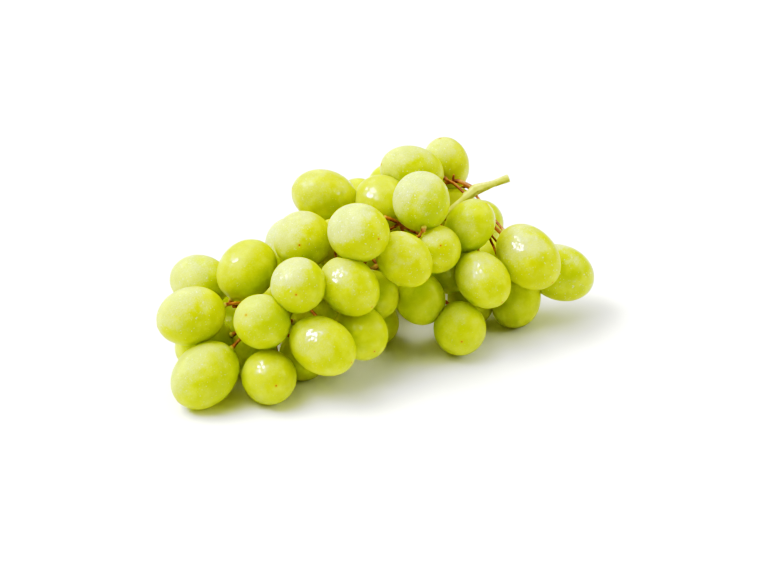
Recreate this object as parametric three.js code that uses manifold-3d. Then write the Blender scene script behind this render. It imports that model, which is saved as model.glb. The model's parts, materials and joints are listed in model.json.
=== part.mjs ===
// A bunch of green seedless grapes, lying on its side as picked: one branched stem and the berries of
// its sprays. Millimetres, +Z up. The bunch lies on Z = 0, with its cut stem end towards +X.
import * as THREE from 'three';
import { mergeVertices } from 'three/addons/utils/BufferGeometryUtils.js';
import Module from 'manifold-3d';

const wasm = await Module();
wasm.setup();

// Sizes

const PRESS = 1.4; // how far two berries of one spray are squeezed together
const TOUCH = 0.4; // the same, before the berries are shared out among the sprays
const GAP = 0.4; // air between neighbouring sprays, and around each stem where it enters a berry
const FLAT = 0.8; // how far a berry that bears on the surface is flattened
const STEM_ROOM = 2.6; // berries keep this far off the middle line of the main stem

const BERRY = { sides: 10, rings: 6 };
// The main stem: its radius at the stalk and at the tip, its flare at the cut and its swelling at the knot.
const MAIN = { sides: 7, steps: 16, spots: 80, stalk: 1.4, tip: 0.9 };
const CUT = { flare: 0.3, length: 1.5 };
const KNOT = { swelling: 1, length: 4, point: 2 };
// A pedicel, and how much thicker a branch gets as it carries more of them.
const BRANCH = { sides: 5, pace: 6, pedicel: 0.7, growth: 0.3, thickest: 1.3, swelling: 1.3 };
// The cap that a pedicel ends in, how deep it sits in its berry, and its straight run to the berry.
const CAP = { radius: 1.5, neck: 0.5, sides: 5, length: 2.2, sunk: 0.8, run: 3 };

// The sight that the bunch was measured along: the camera's turn and tilt, its distance, the point it
// looks at, and the size of one pixel there. Pixels count from the top left of the frame.
const SIGHT = {
  azimuth: -20,
  elevation: 30,
  distance: 900,
  aim: [15.5, 23, 0],
  frame: [772, 579],
  pixel: 0.385,
};

// Berries that show. Each row holds the pixel of its middle, the height of its middle, its length and
// width, and where its blossom end points: turn in the picture (0 right, 90 up) and lean towards the eye.
const SEEN = [
  [191, 316, 28, 25, 20.5, 198, 15],
  [200, 281, 29, 23, 19, 170, -25],
  [247, 270, 38, 24, 20.3, 50, -15],
  [205, 375, 10.5, 27, 21.4, 225, 15],
  [269, 377, 9, 23, 19.4, -51, 70],
  [262, 322, 28, 22.5, 19.4, 157, 58],
  [298, 285, 43, 22, 19.6, -103, 72],
  [303, 240, 46, 25, 21, -124, 80],
  [291, 247, 33, 21.5, 19, 108, 5],
  [359, 231, 50, 24.7, 21, -17, 53],
  [323, 196, 47, 25, 19.7, 165, 12],
  [357, 206, 34, 22, 19, 80, -20],
  [384, 204, 46, 22.5, 20.5, 130, -20],
  [412, 171, 52, 24.5, 18.8, 168, 20],
  [446, 163, 48, 21.5, 17.6, 104, 25],
  [394, 188, 32, 21.5, 18.5, 150, -20],
  [421, 200, 56, 22.5, 20.8, 95, -30],
  [404, 259, 37.5, 22.3, 18.3, -42, 15],
  [438, 250, 34.5, 20, 17.4, 45, 80],
  [468, 228, 37, 21.7, 17.4, 52, 20],
  [453, 215, 30.5, 22, 19, 60, -30],
  [477, 225, 20, 22, 19.2, 30, -30],
  [483, 280, 28.5, 23.4, 18.6, -50, 25],
  [529, 256, 31, 28, 21.2, -47, 25],
  [562, 271, 16.5, 26.5, 20.8, -21, -10],
  [516, 302, 9, 21.6, 18.6, -105, -10],
  [461, 329, 9, 22, 19.3, -81, 64],
  [419, 297, 19.5, 20.5, 18.3, -60, -10],
  [449, 266, 22.5, 21, 18, -80, -30],
  [349, 288, 36, 24, 19.6, -42, 25],
  [371, 294, 23, 21, 17.8, -20, -20],
  [322, 346, 20, 25.9, 20, -30, 25],
  [361, 333, 16, 22.5, 18.8, -54, 43],
  [305, 354, 8, 21, 18, -120, -20],
  [318, 322, 12, 21, 18, 0, -30],
  [206, 345, 12, 22.5, 19, 200, -20],
  [232, 327, 11, 21, 18.4, 180, -30],
  [252, 352, 8, 20, 17, -100, -30],
  [377, 322, 7, 18, 16, -60, -40],
  [492, 262, 20, 21, 18, -20, -30],
  [467, 300, 8, 20.5, 17.5, -80, -30],
  [368, 268, 19, 20.5, 17.5, -30, -40],
  [227, 301, 12, 20.5, 17.8, 190, -35],
];

// The main stem from its cut end to the tip: the pixel and the height of each point. The third point is
// the knot where its first lateral leaves.
const MAIN_STEM = [
  [509, 178, 49],
  [490, 185, 47],
  [475, 190, 45],
  [463, 200, 42],
  [448, 212, 38],
  [420, 236, 31],
  [385, 262, 25],
  [340, 285, 22],
  [290, 302, 20],
  [272, 308, 19.5],
];

// Berries that the view hides, on the back and the underside: the most there may be, the spots tried, the
// stretch of the main stem they sit round, how far off it, how far they point down it, their size, and how
// far one may lie in another before they settle.
const HIDDEN = {
  most: 13,
  tries: 16000,
  from: 0.2,
  reach: 46,
  tip_reach: 34,
  forward: [0.1, 0.6],
  long: 21.5,
  wide: 18.6,
  vary: 0.08,
  squeeze: 1.2,
};

// Branches leave the main stem past this share of its length, by the knot.
const BRANCHES_FROM = 0.13;

// Sprays follow each other down the main stem, each turned on from the last.
const SPRAYS = { count: 8, first: 0.2, last: 0.98, reach: 20, turn: 137.5, start: 180 };

const UP = new THREE.Vector3(0, 0, 1);
const { degToRad, lerp, clamp } = THREE.MathUtils;

let seed = 20;
function random() {
  seed = (seed * 1664525 + 1013904223) % 4294967296;
  return seed / 4294967296;
}

// Sight lines

const turned = degToRad(SIGHT.azimuth);
const tilted = degToRad(SIGHT.elevation);
const viewRight = new THREE.Vector3(Math.cos(turned), Math.sin(turned), 0);
const viewBack = new THREE.Vector3(
  Math.sin(turned) * Math.cos(tilted),
  -Math.cos(turned) * Math.cos(tilted),
  Math.sin(tilted),
);
const viewUp = new THREE.Vector3().crossVectors(viewBack, viewRight);
const eye = new THREE.Vector3(...SIGHT.aim).addScaledVector(viewBack, SIGHT.distance);

// The direction from the eye through a pixel.
function sightThrough(x, y) {
  const across = (x - SIGHT.frame[0] / 2) * SIGHT.pixel;
  const above = (SIGHT.frame[1] / 2 - y) * SIGHT.pixel;
  return viewBack
    .clone()
    .multiplyScalar(-SIGHT.distance)
    .addScaledVector(viewRight, across)
    .addScaledVector(viewUp, above)
    .normalize();
}

// The point at a height on the way through a pixel.
function pointAt(x, y, height) {
  const sight = sightThrough(x, y);
  return eye.clone().addScaledVector(sight, (height - eye.z) / sight.z);
}

// Berries as ellipsoids: a middle, an axis towards the blossom end, half its length and half its width

function seenBerry([x, y, height, long, wide, turn, lean]) {
  const sight = sightThrough(x, y);
  const around = degToRad(turn);
  const towards = degToRad(lean);
  const axis = viewRight
    .clone()
    .multiplyScalar(Math.cos(around) * Math.cos(towards))
    .addScaledVector(viewUp, Math.sin(around) * Math.cos(towards))
    .addScaledVector(sight, -Math.sin(towards))
    .normalize();
  const middle = pointAt(x, y, height);
  return { middle, home: middle.clone(), sight, axis, half: long / 2, girth: wide / 2 };
}

// How far a berry's tangent plane facing n stands from its middle.
function support(berry, n) {
  const along = berry.axis.dot(n) ** 2;
  return Math.sqrt(berry.half ** 2 * along + berry.girth ** 2 * (1 - along));
}

// How far a berry's skin is from its middle in the direction n.
function skin(berry, n) {
  const along = berry.axis.dot(n) ** 2;
  return 1 / Math.sqrt(along / berry.half ** 2 + (1 - along) / berry.girth ** 2);
}

// A vector in the space where the berry is a ball of radius one.
function inBall(berry, vector) {
  const along = vector.dot(berry.axis);
  return vector
    .clone()
    .addScaledVector(berry.axis, -along)
    .divideScalar(berry.girth)
    .addScaledVector(berry.axis, along / berry.half);
}

function apart(one, other) {
  const n = new THREE.Vector3().subVectors(one.middle, other.middle);
  const distance = n.length();
  n.divideScalar(distance);
  return { n, distance };
}

// The air between two berries, less than nothing where they press into each other.
function airBetween(one, other) {
  const { n, distance } = apart(one, other);
  return distance - skin(one, n) - skin(other, n);
}

// Settling: berries push each other, the main stem and the surface clear

const mainPath = new THREE.CatmullRomCurve3(MAIN_STEM.map((row) => pointAt(...row)));
const mainSamples = mainPath.getSpacedPoints(MAIN.spots);
const SETTLE = { sideways: 0.01, share: 0.5, most: 1.5, home: 0.01, first: 300, packed: 100, shared: 900 };

// A berry gives way along its sight line, and hardly across it.
function giveWay(berry, n) {
  return berry.sight
    .clone()
    .multiplyScalar(berry.sight.dot(n) * (1 - SETTLE.sideways))
    .addScaledVector(n, SETTLE.sideways);
}

function push(berry, n, depth) {
  const way = giveWay(berry, n);
  berry.middle.addScaledVector(way, depth / way.dot(n));
}

function pushApart(one, other, n, depth) {
  const wayOne = giveWay(one, n);
  const wayOther = giveWay(other, n);
  const each = depth / (wayOne.dot(n) + wayOther.dot(n));
  one.middle.addScaledVector(wayOne, each);
  other.middle.addScaledVector(wayOther, -each);
}

// How far apart two middles want to be: berries of one spray press, sprays keep clear of each other.
function wantedDistance(one, other, n) {
  if (one.spray === undefined) return skin(one, n) + skin(other, n) - TOUCH;
  if (one.spray === other.spray) return skin(one, n) + skin(other, n) - PRESS;
  return support(one, n) + support(other, n) + GAP;
}

function settlePair(one, other) {
  const { n, distance } = apart(one, other);
  const depth = wantedDistance(one, other, n) - distance;
  const bonded = one.bond === other || other.bond === one;
  if (depth > 0 || bonded) pushApart(one, other, n, clamp(depth * SETTLE.share, -SETTLE.most, SETTLE.most));
}

function nearestSample(point) {
  const nearer = (best, sample) => (sample.distanceTo(point) < best.distanceTo(point) ? sample : best);
  return mainSamples.reduce(nearer);
}

function settleOne(berry) {
  const { n, distance } = apart(berry, { middle: nearestSample(berry.middle) });
  const depth = support(berry, n) + STEM_ROOM - distance;
  if (depth > 0) push(berry, n, Math.min(depth * SETTLE.share, SETTLE.most));
  if (berry.home) berry.middle.lerp(berry.home, SETTLE.home);
  const sunk = support(berry, UP) - FLAT - berry.middle.z;
  if (sunk > 0) push(berry, UP, sunk);
}

function settle(berries, rounds) {
  for (let round = 0; round < rounds; round++) {
    berries.forEach((one, i) => berries.slice(0, i).forEach((other) => settlePair(one, other)));
    berries.forEach(settleOne);
  }
}

// Hidden berries

// A direction square to the main stem, at an angle from level.
function outFromStem(along, angle) {
  const tangent = mainPath.getTangentAt(along);
  const side = new THREE.Vector3().crossVectors(UP, tangent).normalize();
  const above = new THREE.Vector3().crossVectors(tangent, side);
  return side.multiplyScalar(Math.cos(angle)).addScaledVector(above, Math.sin(angle));
}

function trialBerry() {
  const along = lerp(HIDDEN.from, 1, random());
  const out = outFromStem(along, 2 * Math.PI * random());
  const far = lerp(HIDDEN.reach, HIDDEN.tip_reach, along) * Math.sqrt(random());
  const size = 1 + HIDDEN.vary * (2 * random() - 1);
  const axis = out.clone().addScaledVector(mainPath.getTangentAt(along), lerp(...HIDDEN.forward, random()));
  const middle = mainPath.getPointAt(along).addScaledVector(out, far);
  const half = (HIDDEN.long * size) / 2;
  const girth = (HIDDEN.wide * size) / 2;
  const berry = { middle, axis: axis.normalize(), half, girth, far };
  const resting = support(berry, UP) - FLAT;
  if (middle.z < resting + berry.girth / 2) middle.z = resting;
  return berry;
}

// Whether a berry stands between the eye and a point.
function hides(berry, point) {
  if (berry.middle.distanceTo(eye) > point.distanceTo(eye)) return false;
  const way = inBall(berry, point.clone().sub(eye));
  const from = inBall(berry, eye.clone().sub(berry.middle));
  return way.dot(from) ** 2 > way.lengthSq() * (from.lengthSq() - 1);
}

const EDGE_POINTS = 12;
function outlinePoints(berry) {
  return Array.from({ length: EDGE_POINTS }, (_, k) => {
    const angle = (2 * Math.PI * k) / EDGE_POINTS;
    return berry.middle
      .clone()
      .addScaledVector(viewRight, Math.cos(angle) * berry.girth)
      .addScaledVector(viewUp, Math.sin(angle) * berry.girth);
  });
}

function clearOfStem(berry) {
  return mainSamples.every((sample) => {
    const { n, distance } = apart(berry, { middle: sample });
    return distance > support(berry, n) + STEM_ROOM;
  });
}

// Free spots behind the berries that show, taken from the main stem outwards.
function hiddenBerries(seen) {
  const trials = Array.from({ length: HIDDEN.tries }, trialBerry).sort((a, b) => a.far - b.far);
  const found = [];
  for (const berry of trials) {
    const free = seen.concat(found).every((other) => airBetween(berry, other) > -HIDDEN.squeeze);
    if (!free || !clearOfStem(berry)) continue;
    if (outlinePoints(berry).every((point) => seen.some((other) => hides(other, point)))) {
      berry.sight = berry.middle.clone().sub(eye).normalize();
      found.push(berry);
    }
    if (found.length === HIDDEN.most) break;
  }
  return found;
}

// Sprays: the smallest one that can takes the nearest berry that touches one it already has

function nearestTo(point, list) {
  return list.reduce((best, berry) =>
    berry.middle.distanceTo(point) < best.middle.distanceTo(point) ? berry : best,
  );
}

function shareOut(berries) {
  const sprays = Array.from({ length: SPRAYS.count }, (_, number) => {
    const along = lerp(SPRAYS.first, SPRAYS.last, number / (SPRAYS.count - 1));
    const out = outFromStem(along, degToRad(SPRAYS.start + number * SPRAYS.turn));
    return { number, middle: mainPath.getPointAt(along).addScaledVector(out, SPRAYS.reach), own: [] };
  });
  const left = new Set(berries);
  const take = (spray, berry, bond) => {
    Object.assign(berry, { spray: spray.number, bond });
    spray.own.push(berry);
    left.delete(berry);
  };
  sprays.forEach((spray) => take(spray, nearestTo(spray.middle, [...left])));
  for (let slack = 0; left.size > 0; ) {
    const touches = (spray, berry) => spray.own.some((own) => airBetween(own, berry) < slack);
    const touching = (spray) => [...left].filter((berry) => touches(spray, berry));
    const spray = sprays.sort((a, b) => a.own.length - b.own.length).find((one) => touching(one).length > 0);
    if (spray) {
      const berry = nearestTo(spray.middle, touching(spray));
      const bond = spray.own.reduce((best, b) => (airBetween(b, berry) < airBetween(best, berry) ? b : best));
      take(spray, berry, bond);
    } else {
      slack += TOUCH;
    }
  }
}

const berries = SEEN.map(seenBerry);
settle(berries, SETTLE.first);
berries.push(...hiddenBerries(berries));
settle(berries, SETTLE.packed);
shareOut(berries);
settle(berries, SETTLE.shared);

// Branches: the shortest ways through the gaps among the berries, from the main stem to every stem end

const GRID = { step: 1.6, margin: 16, room: 1.5, crowding: 8 };
const MOUTH = { leans: [0, 18, 36], turns: 8, worth: 60 };

// The distance from a point to a berry's skin, less than nothing inside.
function clearance(point, berry) {
  const { n, distance } = apart({ middle: point }, berry);
  return distance - skin(berry, n);
}

// Where a pedicel meets its berry: at the stem end, or beside it where a neighbour lies against that.
function mouthOf(berry) {
  const others = berries.filter((other) => other !== berry);
  const side = new THREE.Vector3().crossVectors(berry.axis, UP).normalize();
  let best = null;
  for (const lean of MOUTH.leans) {
    for (let turn = 0; turn < MOUTH.turns; turn++) {
      const way = berry.axis.clone().negate().applyAxisAngle(side, degToRad(lean));
      way.applyAxisAngle(berry.axis, (2 * Math.PI * turn) / MOUTH.turns);
      const point = berry.middle.clone().addScaledVector(way, skin(berry, way) + CAP.run);
      const air = Math.min(GRID.room, ...others.map((other) => clearance(point, other)));
      const value = air - lean / MOUTH.worth;
      if (!best || value > best.value) best = { value, point, way };
    }
  }
  const end = berry.middle.clone().addScaledVector(best.way, skin(berry, best.way) - CAP.sunk);
  return { point: best.point, way: best.way, end };
}

const gridBox = new THREE.Box3().setFromPoints(berries.map((berry) => berry.middle));
gridBox.expandByScalar(GRID.margin);
const gridSize = gridBox.getSize(new THREE.Vector3()).divideScalar(GRID.step).ceil();
const [cellsX, cellsY, cellsZ] = gridSize.toArray();
const cellAt = (i, j, k) => (k * cellsY + j) * cellsX + i;
const inCells = (point) => point.clone().sub(gridBox.min).divideScalar(GRID.step);
const cellOf = (point) => cellAt(...inCells(point).round().toArray());

function pointOf(cell) {
  const row = Math.floor(cell / cellsX);
  return new THREE.Vector3(cell % cellsX, row % cellsY, Math.floor(row / cellsY))
    .multiplyScalar(GRID.step)
    .add(gridBox.min);
}

// How dear a way through each cell is: dearer near a skin or the surface, and far dearer inside a berry.
function crowdedness() {
  const air = new Float32Array(cellsX * cellsY * cellsZ);
  air.forEach((_, cell) => (air[cell] = Math.min(GRID.room, pointOf(cell).z)));
  for (const berry of berries) {
    const low = inCells(berry.middle.clone().subScalar(berry.half + GRID.room)).ceil();
    const high = inCells(berry.middle.clone().addScalar(berry.half + GRID.room)).floor();
    for (let k = low.z; k <= high.z; k++) {
      for (let j = low.y; j <= high.y; j++) {
        for (let i = low.x; i <= high.x; i++) {
          const cell = cellAt(i, j, k);
          air[cell] = Math.min(air[cell], clearance(pointOf(cell), berry));
        }
      }
    }
  }
  return air.map((clear) => 1 + GRID.crowding * (GRID.room - clear) ** 2);
}

// For every cell the next one on its cheapest way to the main stem.
function waysToStem() {
  const steps = [];
  const around = [-1, 0, 1];
  for (const k of around) {
    for (const j of around) {
      for (const i of around) {
        if (i || j || k) steps.push({ jump: cellAt(i, j, k), length: GRID.step * Math.hypot(i, j, k) });
      }
    }
  }
  const dear = crowdedness();
  const price = new Float32Array(dear.length).fill(Infinity);
  const next = new Int32Array(dear.length).fill(-1);
  const onStem = mainSamples.slice(Math.round(mainSamples.length * BRANCHES_FROM)).map(cellOf);
  const queue = [onStem.flatMap((cell) => [cell, ...steps.map(({ jump }) => cell + jump)])];
  queue[0].forEach((cell) => (price[cell] = 0));
  for (let level = 0; level < queue.length; level++) {
    for (const cell of queue[level] ?? []) {
      for (const { jump, length } of steps) {
        const cost = price[cell] + length * dear[cell + jump];
        if (cost < price[cell + jump]) {
          price[cell + jump] = cost;
          next[cell + jump] = cell;
          (queue[Math.floor(cost)] ??= []).push(cell + jump);
        }
      }
    }
  }
  return next;
}

// The branches as joints: each has a place, the joint it grows from, those that grow from it, and the
// number of berries it feeds.
function branchJoints() {
  const next = waysToStem();
  const joints = new Map();
  const jointOf = (cell) => {
    if (!joints.has(cell)) joints.set(cell, { at: pointOf(cell), from: null, out: new Set(), feeds: 0 });
    return joints.get(cell);
  };
  const leaves = berries.map((berry) => {
    const mouth = mouthOf(berry);
    const leaf = { at: mouth.point, way: mouth.way, end: mouth.end, out: new Set(), feeds: 1 };
    let tip = leaf;
    for (let cell = cellOf(mouth.point); cell >= 0; cell = next[cell]) {
      const joint = jointOf(cell);
      joint.feeds += 1;
      joint.out.add(tip);
      tip.from = joint;
      tip = joint;
    }
    return leaf;
  });
  const roots = [...joints.values()].filter((joint) => !joint.from);
  roots.forEach((root) => (root.at = nearestSample(root.at)));
  return { roots, leaves, between: [...joints.values()].filter((joint) => joint.from) };
}

const branchRadius = (feeds) => Math.min(BRANCH.pedicel * feeds ** BRANCH.growth, BRANCH.thickest);

const SMOOTH = { rounds: 40, share: 0.35, room: 0.1 };
// Draws the branches straight between their ends, and keeps them clear of the berries.
function smoothBranches({ between }) {
  for (let round = 0; round < SMOOTH.rounds; round++) {
    for (const joint of between) {
      const onward = new THREE.Vector3();
      joint.out.forEach((tip) => onward.addScaledVector(tip.at, 1 / joint.out.size));
      joint.at.lerp(onward.lerp(joint.from.at, 0.5), SMOOTH.share);
      const room = branchRadius(joint.feeds) + GAP + SMOOTH.room;
      for (const berry of berries) {
        const { n, distance } = apart({ middle: joint.at }, berry);
        const depth = skin(berry, n) + room - distance;
        if (depth > 0) joint.at.addScaledVector(n, depth);
      }
    }
  }
}

// The runs of branch from one fork to the next, or to a berry.
function branchRuns({ roots, between }) {
  const runs = [];
  const forks = between.filter((joint) => joint.out.size > 1);
  for (const start of [...roots, ...forks]) {
    for (let tip of start.out) {
      const points = [start.at, tip.at];
      const { feeds } = tip;
      while (tip.out.size === 1) {
        [tip] = tip.out;
        points.push(tip.at);
      }
      if (tip.end) points.push(tip.end);
      runs.push({ path: new THREE.CatmullRomCurve3(points), radius: branchRadius(feeds) });
    }
  }
  return { runs, forks };
}

const branches = branchJoints();
smoothBranches(branches);
const { runs, forks } = branchRuns(branches);

// Solids

function solidOf(geometry) {
  geometry.deleteAttribute('normal');
  geometry.deleteAttribute('uv');
  const merged = mergeVertices(geometry);
  const vertProperties = Float32Array.from(merged.attributes.position.array);
  const triVerts = Uint32Array.from(merged.index.array);
  return new wasm.Manifold(new wasm.Mesh({ numProp: 3, vertProperties, triVerts }));
}

// A round stem along a path, thick as radiusAt says.
function stemSolid(path, sides, steps, radiusAt) {
  const tube = new THREE.CylinderGeometry(1, 1, 1, sides, steps);
  const frames = path.computeFrenetFrames(steps, false);
  const place = tube.attributes.position;
  for (let i = 0; i < place.count; i++) {
    const step = Math.round((place.getY(i) + 0.5) * steps);
    const radius = radiusAt(step / steps);
    const at = path
      .getPointAt(step / steps)
      .addScaledVector(frames.normals[step], place.getX(i) * radius)
      .addScaledVector(frames.binormals[step], -place.getZ(i) * radius);
    place.setXYZ(i, at.x, at.y, at.z);
  }
  return solidOf(tube);
}

const bump = (at, middle, length) => Math.exp(-(((at - middle) / length) ** 2));

function mainSolid(room) {
  const length = mainPath.getLength();
  const knotAt = mainPath.points[0].distanceTo(mainPath.points[KNOT.point]);
  return stemSolid(mainPath, MAIN.sides, MAIN.steps, (along) => {
    const flare = CUT.flare * bump(along * length, 0, CUT.length);
    const knot = KNOT.swelling * bump(along * length, knotAt, KNOT.length);
    return lerp(MAIN.stalk, MAIN.tip, along) + flare + knot + room;
  });
}

function runSolid({ path, radius }, room) {
  const steps = Math.max(1, Math.round(path.getLength() / BRANCH.pace));
  return stemSolid(path, BRANCH.sides, steps, () => radius + room);
}

function forkSolid(fork, room) {
  const knob = new THREE.IcosahedronGeometry(branchRadius(fork.feeds) * BRANCH.swelling + room);
  return solidOf(knob.translate(...fork.at.toArray()));
}

// The flared end of a pedicel, set into its berry.
function capSolid({ way, end }, room) {
  const length = CAP.length + CAP.sunk + room;
  const cone = new THREE.CylinderGeometry(CAP.neck + room, CAP.radius + room, length, CAP.sides);
  cone.translate(0, length / 2 - room, 0);
  cone.applyQuaternion(new THREE.Quaternion().setFromUnitVectors(new THREE.Vector3(0, 1, 0), way));
  return solidOf(cone.translate(...end.toArray()));
}

const joined = (solids) => solids.reduce((all, solid) => all.add(solid));
const largest = (solid) => solid.decompose().reduce((a, b) => (b.volume() > a.volume() ? b : a));

// The whole branched stem, made thicker all over by some room.
function stemTree(room) {
  return joined([
    mainSolid(room),
    ...runs.map((run) => runSolid(run, room)),
    ...forks.map((fork) => forkSolid(fork, room)),
    ...branches.leaves.map((leaf) => capSolid(leaf, room)),
  ]);
}

function berrySolid(berry) {
  const ball = new THREE.SphereGeometry(1, BERRY.sides, BERRY.rings);
  ball.scale(berry.girth, berry.half, berry.girth);
  ball.applyQuaternion(new THREE.Quaternion().setFromUnitVectors(new THREE.Vector3(0, 1, 0), berry.axis));
  return solidOf(ball.translate(...berry.middle.toArray()));
}

const BELOW = { across: 400, deep: 50 };
const below = new THREE.BoxGeometry(BELOW.across, BELOW.across, BELOW.deep);
const surface = solidOf(below.translate(0, 0, -BELOW.deep / 2));
const stem = largest(stemTree(0));
const stemRoom = stemTree(GAP);

function spraySolid(spray) {
  const whole = joined(berries.filter((berry) => berry.spray === spray).map(berrySolid));
  return largest(whole.subtract(surface).subtract(stemRoom));
}

// The bunch

function meshOf(solid, name, color, roughness) {
  const { vertProperties, triVerts } = solid.getMesh();
  const geometry = new THREE.BufferGeometry();
  geometry.setAttribute('position', new THREE.BufferAttribute(vertProperties, 3));
  geometry.setIndex(new THREE.BufferAttribute(triVerts, 1));
  geometry.computeVertexNormals();
  const mesh = new THREE.Mesh(geometry, new THREE.MeshStandardMaterial({ color, roughness, metalness: 0 }));
  mesh.name = name;
  return mesh;
}

const bunch = new THREE.Group();
bunch.add(meshOf(stem, 'stem', 0x8f8a3c, 0.7));
for (let spray = 0; spray < SPRAYS.count; spray++) {
  bunch.add(meshOf(spraySolid(spray), `berries_spray_${spray + 1}`, 0xc3cf5e, 0.35));
}

// The origin is under the middle of the bunch, on the surface.
const box = new THREE.Box3().setFromObject(bunch);
const middle = box.getCenter(new THREE.Vector3());
bunch.children.forEach((mesh) => mesh.geometry.translate(-middle.x, -middle.y, 0));

export default bunch;
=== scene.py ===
"""A bunch of green grapes on a white table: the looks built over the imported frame.

The frame holds the berries of each spray fused into one faceted solid, and the branched stem. Every berry is
read back from its spray, and a smooth one is set in its place. The stem is refined from the frame's own, and
thin dry twigs are added in the gaps between the berries.
"""

from __future__ import annotations

import json
import logging
import math
from collections import defaultdict
from dataclasses import dataclass, field
from enum import Enum

import bpy
import numpy as np
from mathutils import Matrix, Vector
from mathutils.bvhtree import BVHTree

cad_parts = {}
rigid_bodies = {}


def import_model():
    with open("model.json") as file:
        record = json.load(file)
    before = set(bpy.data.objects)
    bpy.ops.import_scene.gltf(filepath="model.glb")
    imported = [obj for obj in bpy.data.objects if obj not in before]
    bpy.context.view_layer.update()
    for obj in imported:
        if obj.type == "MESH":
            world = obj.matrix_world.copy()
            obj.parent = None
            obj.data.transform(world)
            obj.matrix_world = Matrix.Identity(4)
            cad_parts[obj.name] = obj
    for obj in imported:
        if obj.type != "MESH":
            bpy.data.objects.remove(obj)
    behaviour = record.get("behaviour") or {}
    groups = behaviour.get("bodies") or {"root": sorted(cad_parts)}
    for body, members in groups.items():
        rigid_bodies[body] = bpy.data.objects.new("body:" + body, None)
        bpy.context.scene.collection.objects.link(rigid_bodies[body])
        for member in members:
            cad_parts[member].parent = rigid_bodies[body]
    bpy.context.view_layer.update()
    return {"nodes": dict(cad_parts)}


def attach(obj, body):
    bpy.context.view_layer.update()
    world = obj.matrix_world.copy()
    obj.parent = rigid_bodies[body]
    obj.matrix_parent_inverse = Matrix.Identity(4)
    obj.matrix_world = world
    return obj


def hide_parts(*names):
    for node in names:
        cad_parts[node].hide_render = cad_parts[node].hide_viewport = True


Colour = tuple[float, float, float]
Span = tuple[float, float]
LOG = logging.getLogger("grapes")
MM = 0.001
BODY = "root"
STEM_NODE = "stem"
SPRAY_PREFIX = "berries_spray_"
UP = np.array((0.0, 0.0, 1.0))
ASIDE = np.array((1.0, 0.0, 0.0))
STEEP = 0.9
LIT_FROM = (-0.61, 0.14, 0.78)


class Slot(Enum):
    """The record's material slots."""

    STEM = "stem"
    SKIN = "berry_skin"


class Trait(Enum):
    """Mesh attributes that the finishes read."""

    BLOSSOM = "blossom_mm"
    TONE = "tone"
    BLOOM = "bloom_and_highlight"
    HAZE = "haze"
    WET = "wet"
    THICK = "thick_mm"


def linear(red: int, green: int, blue: int) -> Colour:
    """Turns a screen colour from 0 to 255 into a linear one."""
    shares = (red / 255, green / 255, blue / 255)
    return tuple(s / 12.92 if s <= 0.04045 else ((s + 0.055) / 1.055) ** 2.4 for s in shares)


def write_trait(mesh: bpy.types.Mesh, trait: Trait, values: np.ndarray) -> None:
    """Stores one value for each vertex under the trait's name."""
    layer = mesh.attributes.new(trait.value, "FLOAT", "POINT")
    layer.data.foreach_set("value", np.asarray(values, np.float32))


def points_of(mesh: bpy.types.Mesh) -> np.ndarray:
    """Reads a mesh's vertices.

    Args:
        mesh: the mesh to read.

    Returns:
        One row of three numbers for each vertex.
    """
    flat = np.empty(len(mesh.vertices) * 3, np.float32)
    mesh.vertices.foreach_get("co", flat)
    return flat.reshape(-1, 3).astype(float)


def move_points(mesh: bpy.types.Mesh, points: np.ndarray) -> None:
    """Moves the mesh's vertices to new places."""
    mesh.vertices.foreach_set("co", points.astype(np.float32).ravel())
    mesh.update()


def only(piece: bpy.types.Object) -> None:
    """Leaves one object selected and active.

    Args:
        piece: the object.
    """
    bpy.ops.object.select_all(action="DESELECT")
    piece.select_set(True)
    bpy.context.view_layer.objects.active = piece


def merge_doubles(piece: bpy.types.Object, distance: float) -> None:
    """Merges a piece's doubled vertices and turns all its faces outwards.

    Args:
        piece: the object, which is left the only one selected.
        distance: how close together vertices are merged.
    """
    only(piece)
    bpy.ops.object.mode_set(mode="EDIT")
    bpy.ops.mesh.select_all(action="SELECT")
    bpy.ops.mesh.remove_doubles(threshold=distance)
    bpy.ops.mesh.normals_make_consistent(inside=False)
    bpy.ops.object.mode_set(mode="OBJECT")


def hand_over(piece: bpy.types.Object, node: str) -> None:
    """Makes a finished piece part of the bunch.

    Args:
        piece: the finished piece.
        node: the frame's node that it stands for.
    """
    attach(piece, BODY)
    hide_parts(node)


# Reading the frame


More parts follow.
